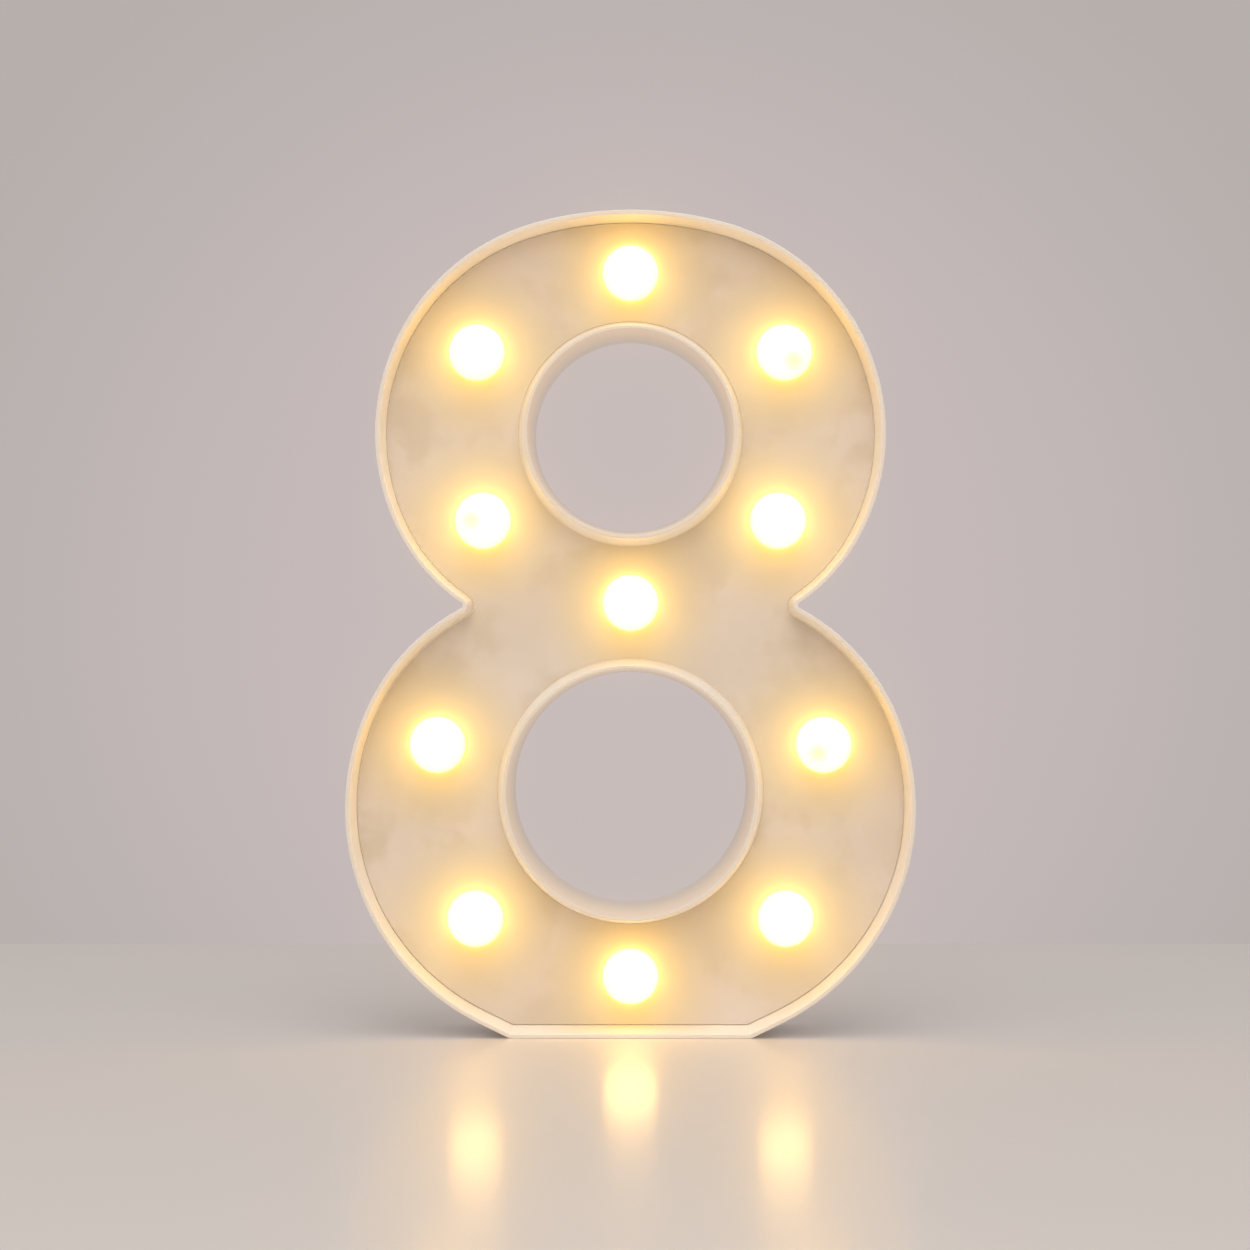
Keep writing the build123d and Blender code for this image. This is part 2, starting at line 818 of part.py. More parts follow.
def make_back_cover():
    face = numeral_face(rear_rim + cover_gap)
    for z, radius in counters:
        face -= disc(0, z, radius + tube_growth(cover_front) + cover_gap)
    face -= keyhole_face()
    face -= Pos(0, waist_height) * Rectangle(window_length, window_height)
    notch_end = window_length / 2 - door_gap + latch_reach + latch_gap
    notch_length = notch_end - window_length / 2 + overrun
    notch = Rectangle(notch_length, latch_width + 2 * latch_gap, align=(Align.MAX, Align.CENTER))
    face -= Pos(notch_end, waist_height) * notch
    face -= disc(notch_end - latch_gap, waist_height, finger_radius)
    cover = slab(face, cover_front, back)
    cover += slab(
        Pos(switch_x, switch_z)
        * RectangleRounded(
            pocket_length + 2 * pocket_wall, pocket_width + 2 * pocket_wall, pocket_corner + pocket_wall
        ),
        back - pocket_depth - pocket_wall,
        cover_front,
    )
    cover -= slab(
        Pos(switch_x, switch_z) * RectangleRounded(pocket_length, pocket_width, pocket_corner),
        back - pocket_depth,
        back,
    )
    pocket_back = back - pocket_depth
    cover -= block_at(
        switch_x,
        switch_z,
        knob_length + switch_travel + 2 * knob_clearance,
        knob_width + 2 * knob_clearance,
        pocket_back - pocket_wall,
        pocket_back,
    )
    for x in switch_screw_places():
        hole_radius = switch_screw_radius + switch_screw_clearance
        cover -= rod(x, switch_z, hole_radius, pocket_back - pocket_wall, pocket_back)
    for x, z in boss_places() + ear_places():
        head_seat = back - screw_head_height - screw_head_gap
        cover -= rod(x, z, screw_radius + screw_head_gap, cover_front, back)
        cover -= rod(x, z, screw_head_radius + screw_head_gap, head_seat, back)
    for side in (-1, 1):
        edge = waist_height + side * window_height / 2
        reach = side * (hinge_pin_length - door_gap + hinge_pin_end_gap)
        hole = Cylinder(hinge_pin_radius + hinge_pin_gap, abs(reach) + overrun)
        cover -= Pos(hinge_x, hinge_y, edge + (reach - side * overrun) / 2) * hole
    return cover


# Screws

def make_screw(radius, length, head_radius, head_height, slot_length, slot_width, slot_depth):
    """A pan-head screw along +Z, its head on top with a cross recess, its seat at z = 0."""
    shank = Cylinder(radius, length, align=(Align.CENTER, Align.CENTER, Align.MAX))
    shank = chamfer(shank.edges().sort_by(Axis.Z)[0], radius / 2)
    head = Cylinder(head_radius, head_height, align=(Align.CENTER, Align.CENTER, Align.MIN))
    head = fillet(head.edges().sort_by(Axis.Z)[-1], head_height / 3)
    top = Pos(0, 0, head_height)
    for turn in (0, 90):
        slot = Box(slot_length, slot_width, slot_depth, align=(Align.CENTER, Align.CENTER, Align.MAX))
        head -= top * Rot(0, 0, turn) * slot
    return shank + head


def screws_at(places, seat, screw):
    """Like screws from behind, each a solid of its own."""
    return Compound([Pos(x, seat, z) * Rot(-90, 0, 0) * screw for x, z in places])


def make_case_screw(length):
    return make_screw(
        screw_radius, length, screw_head_radius, screw_head_height, cross_length, cross_width, cross_depth
    )


# Slide switch, behind the floor of the cover's pocket

def switch_flange_back():
    return back - pocket_depth - pocket_wall


def switch_can_front():
    return switch_flange_back() - switch_flange - switch_can_depth


def switch_screw_places():
    return [switch_x - switch_screw_pitch / 2, switch_x + switch_screw_pitch / 2]


def make_switch_frame():
    """The steel can with its flange and window."""
    flange_front = switch_flange_back() - switch_flange
    inner = (switch_can_length - 2 * switch_can_wall, switch_can_width - 2 * switch_can_wall)
    frame = block_at(
        switch_x, switch_z, switch_flange_length, switch_flange_width, flange_front, switch_flange_back()
    )
    frame += block_at(
        switch_x, switch_z, switch_can_length, switch_can_width, switch_can_front(), flange_front
    )
    frame -= block_at(switch_x, switch_z, *inner, switch_can_front(), flange_front)
    window = (knob_length + switch_travel + 2 * knob_clearance, knob_width + 2 * knob_clearance)
    frame -= block_at(switch_x, switch_z, *window, flange_front, switch_flange_back())
    for x in switch_screw_places():
        hole_radius = switch_screw_radius + switch_screw_gap
        frame -= rod(x, switch_z, hole_radius, flange_front, switch_flange_back())
    return frame


def make_switch_base():
    """The insulating board that closes the can."""
    length = switch_can_length - 2 * switch_can_wall - 2 * switch_gap
    across = switch_can_width - 2 * switch_can_wall - 2 * switch_gap
    start = switch_can_front()
    base = block_at(switch_x, switch_z, length, across, start, start + switch_board)
    for offset in (-terminal_pitch, 0, terminal_pitch):
        slot = (terminal_width + 2 * switch_gap, terminal_thickness + 2 * switch_gap)
        base -= block_at(switch_x + offset, switch_z, *slot, start, start + switch_board)
    return base


def make_switch_terminals():
    """Three flat pins through the board."""
    start = switch_can_front()
    pins = []
    for offset in (-terminal_pitch, 0, terminal_pitch):
        pins.append(
            block_at(
                switch_x + offset,
                switch_z,
                terminal_width,
                terminal_thickness,
                start - terminal_length,
                start + switch_board + terminal_thickness,
            )
        )
    return Compound(pins)


def make_switch_knob():
    """The sliding knob at its ON end, with its slider inside the can."""
    x = switch_x - switch_travel / 2
    slider_back = switch_flange_back() - switch_flange - slider_gap
    slider_front = slider_back - slider_thickness
    top = back - knob_sink
    knob = block_at(x, switch_z, slider_length, slider_width, slider_front, slider_back)
    knob += block_at(x, switch_z, knob_length, knob_width, slider_back, top)
    for offset in (-knob_groove_pitch, 0, knob_groove_pitch):
        knob -= block_at(x + offset, switch_z, knob_groove, knob_width, top - knob_groove_depth, top)
    return knob


def make_switch_screws():
    screw = make_screw(
        switch_screw_radius,
        switch_screw_length,
        switch_screw_head_radius,
        switch_screw_head_height,
        switch_cross_length,
        switch_cross_width,
        cross_depth,
    )
    places = [(x, switch_z) for x in switch_screw_places()]
    return screws_at(places, back - pocket_depth, screw)


# All pieces by name

def make_parts():
    upper_cell, lower_cell = tab_heights()
    spring = make_spring()
    screw_seat = back - screw_head_height - screw_head_gap
    parts = {
        "casing": make_casing(),
        "upper_counter_tube": make_counter_tube(upper_counter_height, upper_counter_radius),
        "lower_counter_tube": make_counter_tube(lower_counter_height, lower_counter_radius),
        "front_panel": make_front_panel(),
        "back_cover": make_back_cover(),
        "cover_screws": screws_at(boss_places(), screw_seat, make_case_screw(screw_length)),
        "battery_box": make_battery_box(),
        "box_screws": screws_at(ear_places(), screw_seat, make_case_screw(box_screw_length)),
        "battery_door": make_battery_door(),
        "battery_cell_1": make_cell(upper_cell, -1),
        "battery_cell_2": make_cell(lower_cell, 1),
        "positive_plate": make_end_plate(upper_cell),
        "negative_plate": make_end_plate(lower_cell),
        "bridge_plate": make_bridge_plate(),
        "negative_spring": place_spring(spring, lower_cell, -1),
        "bridge_spring": place_spring(spring, upper_cell, 1),
        "switch_frame": make_switch_frame(),
        "switch_base": make_switch_base(),
        "switch_terminals": make_switch_terminals(),
        "switch_knob": make_switch_knob(),
        "switch_screws": make_switch_screws(),
        "resistor": make_resistor(),
        "positive_wire": make_positive_wire(),
        "negative_wire": make_negative_wire(),
        "battery_lead": make_battery_lead(),
    }
    for index, (x, z) in enumerate(bulb_places):
        parts[f"bulb_cover_{index + 1:02d}"] = make_bulb_cover(x, z)
        parts[f"led_{index + 1:02d}"] = make_led(index)
    return parts


os.makedirs("parts", exist_ok=True)
for name, shape in make_parts().items():
    export_step(shape, f"parts/{name}.step")
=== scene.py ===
import math
import bpy
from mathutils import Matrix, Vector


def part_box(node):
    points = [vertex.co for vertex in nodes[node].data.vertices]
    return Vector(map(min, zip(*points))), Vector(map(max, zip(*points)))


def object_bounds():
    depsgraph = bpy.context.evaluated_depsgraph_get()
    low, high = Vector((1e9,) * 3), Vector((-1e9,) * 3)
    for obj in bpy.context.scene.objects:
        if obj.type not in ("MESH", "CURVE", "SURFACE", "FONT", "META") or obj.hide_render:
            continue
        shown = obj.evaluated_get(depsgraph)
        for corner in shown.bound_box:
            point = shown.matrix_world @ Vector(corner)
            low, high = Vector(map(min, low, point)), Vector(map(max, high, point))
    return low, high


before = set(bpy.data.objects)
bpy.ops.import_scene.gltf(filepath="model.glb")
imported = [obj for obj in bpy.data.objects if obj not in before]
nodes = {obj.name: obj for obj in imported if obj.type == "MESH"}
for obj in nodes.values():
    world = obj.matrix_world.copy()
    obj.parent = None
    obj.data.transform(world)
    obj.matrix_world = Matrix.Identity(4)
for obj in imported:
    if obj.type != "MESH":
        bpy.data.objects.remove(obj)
cad_low, cad_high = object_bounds()


# Camera: straight in front of the numeral at about half its height, a little over a metre away and
# through a long lens, so that the counters' far rims show only a little. The lens gives each bright
# bulb a soft bloom.
picture_width = 1250
focal_width = 4680
sensor_width = 36.0
camera_distance = 1.264
camera_height = 0.115
camera_tilt = 89.76
camera_turn = 0.067
bloom_threshold = 1.0
bloom_strength = 0.5
bloom_size = 0.4

bpy.ops.object.camera_add(
    location=(0, -camera_distance, camera_height),
    rotation=(math.radians(camera_tilt), 0, math.radians(camera_turn)),
)
camera = bpy.context.object
camera.data.sensor_width = sensor_width
camera.data.lens = sensor_width * focal_width / picture_width
bpy.context.scene.camera = camera
bpy.context.scene.view_settings.view_transform = "Standard"

bpy.context.scene.use_nodes = True
picture = bpy.context.scene.node_tree
bloom = picture.nodes.new("CompositorNodeGlare")
bloom.glare_type = "BLOOM"
bloom.quality = "HIGH"
bloom.inputs["Threshold"].default_value = bloom_threshold
bloom.inputs["Strength"].default_value = bloom_strength
bloom.inputs["Size"].default_value = bloom_size
picture.links.new(picture.nodes["Render Layers"].outputs["Image"], bloom.inputs["Image"])
picture.links.new(bloom.outputs["Image"], picture.nodes["Composite"].inputs["Image"])


# Table: a pale laminate top with softly rounded edges, wide enough to fill the view. It is satin under
# a thin clear lacquer, so that each bulb gives a soft round reflection in a wider warm pool.
table_front = 2.4
table_back = 0.33
table_half_width = 2.6
table_thickness = 0.03
table_edge = 0.004
table_edge_steps = 4
table_pale = (0.73, 0.705, 0.685, 1)
table_warm = (0.765, 0.72, 0.69, 1)
table_cloud = 9.0
table_grain = 900.0
plain_detail = 2.0
table_roughness = 0.40
table_roughness_change = 0.06
table_bump = 0.04
table_bump_depth = 0.0001
table_specular = 1.0
lacquer_weight = 0.36
lacquer_roughness = 0.14

# The colour sockets of a Mix node go by their numbers, because their names repeat.
mix_amount = 0
mix_first = 6
mix_second = 7
mix_colour = 2


class Link:
    """A node's output. Adding to it, scaling it or comparing it adds a Math node."""

    def __init__(self, tree, socket):
        self.tree = tree
        self.socket = socket

    def node(self, kind, settings, inputs, output=0):
        """Add any node: its settings first, then the values or links of its sockets."""
        node = self.tree.nodes.new(kind)
        for name, value in settings.items():
            setattr(node, name, value)
        for name, value in inputs.items():
            if isinstance(value, Link):
                self.tree.links.new(value.socket, node.inputs[name])
            else:
                node.inputs[name].default_value = value
        return Link(self.tree, node.outputs[output])

    def maths(self, operation, first, second=0.0):
        return self.node("ShaderNodeMath", {"operation": operation}, {0: first, 1: second})

    def __add__(self, other):
        return self.maths("ADD", self, other)

    def __sub__(self, other):
        return self.maths("SUBTRACT", self, other)

    def __mul__(self, other):
        return self.maths("MULTIPLY", self, other)

    def __truediv__(self, other):
        return self.maths("DIVIDE", self, other)

    def __gt__(self, other):
        return self.maths("GREATER_THAN", self, other)

    def __lt__(self, other):
        return self.maths("LESS_THAN", self, other)

    def __rsub__(self, other):
        return self.maths("SUBTRACT", other, self)

    def __rtruediv__(self, other):
        return self.maths("DIVIDE", other, self)

    def __abs__(self):
        return self.maths("ABSOLUTE", self)

    __radd__ = __add__
    __rmul__ = __mul__


def new_finish(name):
    """A new material and the place of each point on its surface, in metres."""
    material = bpy.data.materials.new(name)
    material.use_nodes = True
    tree = material.node_tree
    return material, Link(tree, tree.nodes.new("ShaderNodeTexCoord").outputs["Object"])


def apply_finish(material, sockets):
    """Give the material's shader its values and links, by the names of its sockets."""
    tree = material.node_tree
    shader = tree.nodes["Principled BSDF"]
    for name, value in sockets.items():
        if isinstance(value, Link):
            tree.links.new(value.socket, shader.inputs[name])
        else:
            shader.inputs[name].default_value = value
    return material


def noise(place, scale, detail=plain_detail):
    """Soft random patches from 0 to 1, about 1 / scale metres across."""
    return place.node("ShaderNodeTexNoise", {}, {"Vector": place, "Scale": scale, "Detail": detail})


def blend(amount, first, second):
    """The first colour where the amount is 0 and the second where it is 1."""
    sockets = {mix_amount: amount, mix_first: first, mix_second: second}
    return amount.node("ShaderNodeMix", {"data_type": "RGBA"}, sockets, mix_colour)


def relief(height, strength, depth):
    """Small hills and hollows for the shader's Normal."""
    return height.node("ShaderNodeBump", {}, {"Height": height, "Strength": strength, "Distance": depth})


def laminate():
    material, place = new_finish("pale_laminate")
    cloud = noise(place, table_cloud)
    return apply_finish(material, {
        "Base Color": blend(cloud, table_pale, table_warm),
        "Roughness": cloud * table_roughness_change + table_roughness,
        "Normal": relief(noise(place, table_grain), table_bump, table_bump_depth),
        "Specular IOR Level": table_specular,
        "Coat Weight": lacquer_weight,
        "Coat Roughness": lacquer_roughness,
    })


bpy.ops.object.select_all(action="DESELECT")
bpy.ops.mesh.primitive_cube_add(
    size=1,
    location=(0, (table_back - table_front) / 2, -table_thickness / 2),
    scale=(2 * table_half_width, table_front + table_back, table_thickness),
)
table = bpy.context.object
table.name = "table"
bpy.ops.object.transform_apply(location=True, rotation=True, scale=True)
bpy.ops.object.mode_set(mode="EDIT")
bpy.ops.mesh.select_all(action="SELECT")
bpy.ops.mesh.bevel(offset=table_edge, segments=table_edge_steps)
bpy.ops.object.mode_set(mode="OBJECT")
bpy.ops.object.shade_smooth()
bpy.ops.object.modifier_add(type="WEIGHTED_NORMAL")
bpy.ops.object.modifier_apply(modifier=table.modifiers[-1].name)
table.data.materials.append(laminate())


# Studio: one pinkish grey backdrop all round, a little brighter straight ahead and behind. A large
# soft light hangs overhead. A smaller one stands in front, flagged so that no gloss mirrors it.
backdrop_middle = (0.556, 0.490, 0.489, 1)
backdrop_edge = (0.470, 0.432, 0.414, 1)
backdrop_fall = (0.986, 1.0)
softboxes = (
    ((0, -0.9, 1.7), 1.6, 12.8, True),
    ((0, -2.2, 0.9), 1.2, 12.8, False),
)
softbox_colour = (1.0, 0.97, 0.94)


def ramp(value, start, end):
    """A smooth rise from 0 at the start to 1 at the end."""
    smooth = {"interpolation_type": "SMOOTHSTEP"}
    return value.node("ShaderNodeMapRange", smooth, {"Value": value, "From Min": start, "From Max": end})


def part_along(vector, axis):
    """How far a place or a direction reaches along one axis."""
    return vector.node("ShaderNodeSeparateXYZ", {}, {"Vector": vector}, axis)


world = bpy.data.worlds.new("backdrop")
world.use_nodes = True
sky = world.node_tree
way = Link(sky, sky.nodes.new("ShaderNodeTexCoord").outputs["Generated"])
ahead = abs(part_along(way, "Y"))
shade = blend(ramp(ahead, *backdrop_fall), backdrop_edge, backdrop_middle)
sky.links.new(shade.socket, sky.nodes["Background"].inputs["Color"])
bpy.context.scene.world = world
for number, (spot, size, power, mirrored) in enumerate(softboxes, start=1):
    bpy.ops.object.light_add(type="AREA", location=spot)
    softbox = bpy.context.object
    softbox.name = f"softbox_{number}"
    softbox.data.shape = "DISK"
    softbox.data.size = size
    softbox.data.energy = power
    softbox.data.color = softbox_colour
    softbox.visible_glossy = mirrored
    aim = (cad_low + cad_high) / 2 - softbox.location
    softbox.rotation_euler = aim.to_track_quat("-Z", "Y").to_euler()


# Casing: the outer wall, moulded in off-white plastic with a fine eroded texture. It carries the panel
# on a ledge and the cover's screws in bosses. A painted glow stands in for the bulbs' light in its thin
# rim and walls and in the seam round the panel. Its channel walls and rim carry painted shading in other
# creams, darker and warmer near the bulbs.
shell_light = (0.86, 0.835, 0.80, 1)
shell_dark = (0.82, 0.795, 0.76, 1)
shell_cloud = 45.0
fine_detail = 3.0
shell_grain = 1500.0
shell_roughness = 0.38
shell_roughness_change = 0.12
shell_bump = 0.22
shell_bump_depth = 0.00006
rim_front = cad_low.y
rim_depth = 0.0006
panel_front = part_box("front_panel")[0].y
# Painted glow: emission colours that stand in for the bulbs' light in the rim, the walls and the seam
# round the panel.
rim_painted_glow = (0.08, 0.045, 0.005, 1)
wall_painted_glow = (0.06, 0.045, 0.035, 1)
behind_panel_painted_glow = (0.008, 0.005, 0.003, 1)
painted_glow_fade = 0.004
seam_painted_glow = (0.53, 0.39, 0.23, 1)
facing_front = -0.9
channel_tilt = -0.05
# Painted shading: the channel walls get a cooler, darker copy of the shell's colour, darker and warmer
# near the bulbs, and the rim face a warmer, darker tone.
wall_painted_shade = (0.78, 0.79, 0.81, 1)
wall_painted_bulb_light = (0.57, 0.56, 0.53, 1)
rim_painted_shading = (0.76, 0.70, 0.62, 1)
bulb_count = 11
bulb_numbers = range(1, bulb_count + 1)
bulb_names = [f"bulb_cover_{number:02d}" for number in bulb_numbers]
wall_near = 0.012
wall_far = 0.032
glow_strength = 1.0


def moulded_plastic(name, light, dark, grain_strength):
    """Moulded plastic: faint clouds of colour, uneven satin and an eroded grain."""
    material, place = new_finish(name)
    cloud = noise(place, shell_cloud, fine_detail)
    grain = noise(place, shell_grain)
    colour = blend(cloud, dark, light)
    apply_finish(material, {
        "Base Color": colour,
        "Roughness": cloud * shell_roughness_change + shell_roughness,
        "Normal": relief(grain, grain_strength, shell_bump_depth),
    })
    return material, place, colour


def depth_of(place):
    """How far back each point lies, in metres: the front is negative and the back positive."""
    return part_along(place, "Y")


def tilt_of(place):
    """How far each point's surface faces back: -1 is straight to the front, and 0 is a side."""
    normal = place.node("ShaderNodeNewGeometry", {}, {}, "Normal")
    return part_along(normal, "Y")


def middle_of(name):
    low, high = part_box(name)
    return (low + high) / 2


def distance(place, spot):
    return place.node("ShaderNodeVectorMath", {"operation": "DISTANCE"}, {0: place, 1: spot}, "Value")


def from_bulb(place):
    """How far each point is from where the nearest bulb meets the panel, in metres."""
    nearest = None
    for name in bulb_names:
        spot = (middle_of(name).x, panel_front, middle_of(name).z)
        gap = distance(place, spot)
        nearest = gap if nearest is None else nearest.maths("MINIMUM", nearest, gap)
    return nearest


def lit_plastic(name, light, dark, grain_strength, glow, channel_painted_bulb_light, channel_painted_shade, front_painted_shading):
    """Shell plastic with a painted glow, and painted shading in other creams on the channel's walls and
    the rim.
    """
    material, place, colour = moulded_plastic(name, light, dark, grain_strength)
    tilt = tilt_of(place)
    in_front = (tilt < channel_tilt) * (depth_of(place) < panel_front)
    in_seam = (depth_of(place) > panel_front) * (tilt < facing_front)
    # Painted shading on the channel walls: darker and warmer near a bulb, cooler farther off.
    channel = blend(ramp(from_bulb(place), wall_near, wall_far), channel_painted_bulb_light, channel_painted_shade)
    return apply_finish(material, {
        # The rim face gets its own painted shading, and the seam behind the panel a painted glow.
        "Base Color": blend(in_front, colour, blend(tilt < facing_front, channel, front_painted_shading)),
        "Emission Color": blend(in_seam, glow(depth_of(place)), seam_painted_glow),
        "Emission Strength": glow_strength,
    })


def casing_painted_glow(depth):
    """The wall's painted glow: most at the rim, some beside the channel, and almost none behind the panel.
    """
    behind = ramp(depth, panel_front - painted_glow_fade, panel_front + painted_glow_fade)
    from_rim = ramp(depth, rim_front, rim_front + rim_depth)
    return blend(from_rim, rim_painted_glow, blend(behind, wall_painted_glow, behind_panel_painted_glow))


def dress(material, *names):
    """Give CAD nodes a finish in place of their plain colour."""
    for name in names:
        for slot in nodes[name].material_slots:
            slot.material = material


casing_plastic = lit_plastic(
    "casing_plastic", shell_light, shell_dark, shell_bump, casing_painted_glow, wall_painted_bulb_light, wall_painted_shade, rim_painted_shading
)
dress(casing_plastic, "casing")


# Counter tubes: moulded like the casing, each pushed through the panel from behind and glued
# by its flange. Their colour is a darker, painted-shade copy of the casing's plastic, with a painted glow
# for the channel's light through the wall, most at the front end, and painted shading like the casing's
# in front of the panel.
tube_grain = 0.15
# Painted shade: a darker copy of the casing's plastic.
tube_painted_shade_pale = (0.48, 0.44, 0.38, 1)
tube_painted_shade_deep = (0.44, 0.40, 0.34, 1)
# Painted glow in place of the channel's light through the tube's wall.
tube_front_painted_glow = (0.34, 0.245, 0.18, 1)
tube_back_painted_glow = (0.21, 0.185, 0.17, 1)
# Painted shading in front of the panel: darker near a bulb, paler and cooler farther off, and a warmer
# tone on the rim face.
tube_painted_bulb_light = (0.30, 0.33, 0.33, 1)
tube_painted_shade = (0.41, 0.48, 0.53, 1)
tube_rim_painted_shading = (0.455, 0.43, 0.345, 1)


def tube_painted_glow(depth):
    """The tube's painted glow, which fades from its front end to its back end."""
    return blend(ramp(depth, cad_low.y, cad_high.y), tube_front_painted_glow, tube_back_painted_glow)


tube_plastic = lit_plastic(
    "tube_plastic", tube_painted_shade_pale, tube_painted_shade_deep, tube_grain, tube_painted_glow, tube_painted_bulb_light, tube_painted_shade, tube_rim_painted_shading
)
dress(tube_plastic, "upper_counter_tube", "lower_counter_tube")


# Front panel: a matt sheet, cut to lie inside the walls with a thin gap all round. It carries random
# patches of painted shade, and painted warm bulb light in amber round each bulb.
panel_light = (0.725, 0.67, 0.625, 1)
panel_dark = (0.61, 0.54, 0.445, 1)
# Painted warm bulb light: amber near each bulb, fading out between the two distances below.
panel_painted_bulb_light = (0.65, 0.585, 0.425, 1)
# Painted shade: dark patches at random over the panel, in place of the uneven shade between the bulbs.
painted_shade_patch_scale = 56.0
painted_shade_full = 0.38
painted_shade_none = 0.54
panel_grain = 0.10
bulb_light_near = 0.010
bulb_light_far = 0.028


def panel_finish():
    """The panel's sheet: painted shade in dark random patches, and painted bulb light in amber within
    reach of a bulb.
    """
    material, place, colour = moulded_plastic("panel_plastic", panel_light, panel_dark, panel_grain)
    # Painted shade in random dark patches.
    patch = ramp(noise(place, painted_shade_patch_scale, fine_detail), painted_shade_full, painted_shade_none)
    # Painted bulb light: amber near each bulb.
    away = ramp(from_bulb(place), bulb_light_near, bulb_light_far)
    return apply_finish(material, {
        "Base Color": blend(away, panel_painted_bulb_light, blend(patch, panel_dark, colour)),
    })


dress(panel_finish(), "front_panel")


# Bulb covers: hollow globes of frosted plastic, each with a neck that snaps through the panel. The LED
# in the neck lights the tip near white, the sides amber and the neck less.
globe_white = (5.0, 2.70, 0.46, 1)
globe_amber = (2.9, 1.60, 0.20, 1)
globe_neck = (1.3, 0.80, 0.32, 1)
globe_base = (0.9, 0.85, 0.60, 1)
globe_radius = 0.0075
globe_fade_back = 0.002
globe_fade_front = 0.0050
globe_roughness = 0.45
die_glow = (4.0, 2.2, 0.02, 1)
die_spots = (
    ("bulb_cover_02", 0.0022, -0.0022),
    ("bulb_cover_05", -0.0027, 0.0003),
    ("bulb_cover_07", -0.0016, -0.0018),
)
die_reach = 0.0042
globe_grain = 1200.0
globe_bump = 0.1
globe_bump_depth = 0.00005
level_ways = (1, 0, 1)


def stretched(place, ways):
    """The place, drawn out along the axes whose way is under 1, and flattened where it is 0."""
    return place.node("ShaderNodeVectorMath", {"operation": "MULTIPLY"}, {0: place, 1: ways})


def die_showing(place):
    """1 where an LED that sits off its cover's axis shows through the globe."""
    across = stretched(place, level_ways)
    showing = None
    for name, right, up in die_spots:
        spot = (middle_of(name).x + right, 0, middle_of(name).z + up)
        near = ramp(distance(across, spot), die_reach, 0)
        showing = near if showing is None else showing + near
    return showing


def globe_finish():
    """Frosted plastic that glows near white at its tip, amber beside it and dimmer in its neck."""
    material, place = new_finish("globe_plastic")
    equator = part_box(bulb_names[0])[0].y + globe_radius
    depth = depth_of(place)
    towards_tip = ramp(depth, equator + globe_fade_back, equator - globe_fade_front)
    tip = blend(die_showing(place), globe_white, die_glow)
    return apply_finish(material, {
        "Base Color": globe_base,
        "Roughness": globe_roughness,
        "Normal": relief(noise(place, globe_grain), globe_bump, globe_bump_depth),
        "Emission Color": blend(depth > panel_front, blend(towards_tip, globe_amber, tip), globe_neck),
        "Emission Strength": glow_strength,
    })


dress(globe_finish(), *bulb_names)


# LEDs: a warm die in clear resin, with a flange at the back and two tinned leads. Each is pushed into
# its cover's neck from behind and shines through its lens.
led_names = [f"led_{number:02d}" for number in bulb_numbers]
lead_start = -0.002
lens_glow = (2.4, 1.7, 0.75, 1)
flange_glow = (0.9, 0.42, 0.10, 1)
lead_glow = (0, 0, 0, 1)
resin_colour = (0.85, 0.66, 0.34, 1)
tinned_light = (0.74, 0.73, 0.70, 1)
tinned_dark = (0.52, 0.50, 0.46, 1)
tinned_patch = 2500.0
resin_roughness = 0.14
resin_roughness_change = 0.22


def led_finish():
    material, place = new_finish("led_resin")
    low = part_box(led_names[0])[0]
    depth = depth_of(place)
    on_lead = depth > lead_start
    towards_flange = (depth - low.y) / (lead_start - low.y)
    patch = noise(place, tinned_patch)
    return apply_finish(material, {
        "Base Color": blend(on_lead, resin_colour, blend(patch, tinned_dark, tinned_light)),
        "Metallic": on_lead,
        "Roughness": patch * resin_roughness_change + resin_roughness,
        "Emission Color": blend(on_lead, blend(towards_flange, lens_glow, flange_glow), lead_glow),
        "Emission Strength": glow_strength,
    })


dress(led_finish(), *led_names)


# Harness wires: two soft insulated wires that run from LED to LED behind the panel. Each is stripped
# and tinned where it is soldered to a lead.
red_light = (0.46, 0.035, 0.025, 1)
red_dark = (0.36, 0.020, 0.015, 1)
black_light = (0.030, 0.030, 0.032, 1)
black_dark = (0.016, 0.016, 0.017, 1)
wire_cloud = 160.0
wire_grain = 2200.0
wire_roughness = 0.36
wire_roughness_change = 0.16
wire_bump = 0.12
wire_bump_depth = 0.00003
solder_reach = 0.0021
wire_middle = 0.00105


def insulation(name, light, dark, bare_spots):
    """Soft insulation, with the wire bare and tinned within reach of each spot."""
    material, place = new_finish(name)
    cloud = noise(place, wire_cloud)
    patch = noise(place, tinned_patch)
    bare = 0
    for spot in bare_spots:
        bare = bare + (distance(place, spot) < solder_reach)
    return apply_finish(material, {
        "Base Color": blend(bare, blend(cloud, dark, light), blend(patch, tinned_dark, tinned_light)),
        "Metallic": bare,
        "Roughness": cloud * wire_roughness_change + wire_roughness,
        "Normal": relief(noise(place, wire_grain), wire_bump, wire_bump_depth),
    })


solder_spots = [(middle_of(name).x, wire_middle, middle_of(name).z) for name in bulb_names]
dress(insulation("red_insulation", red_light, red_dark, solder_spots), "positive_wire")
dress(insulation("black_insulation", black_light, black_dark, solder_spots), "negative_wire")


# Back cover: moulded like the casing but more strongly textured. Its window, keyhole and switch
# pocket are moulded in, and it drops into the casing's rear rim.
cover_light = (0.84, 0.80, 0.75, 1)
cover_dark = (0.79, 0.75, 0.70, 1)
cover_grain = 0.45

cover_plastic = moulded_plastic("cover_plastic", cover_light, cover_dark, cover_grain)[0]
dress(cover_plastic, "back_cover")


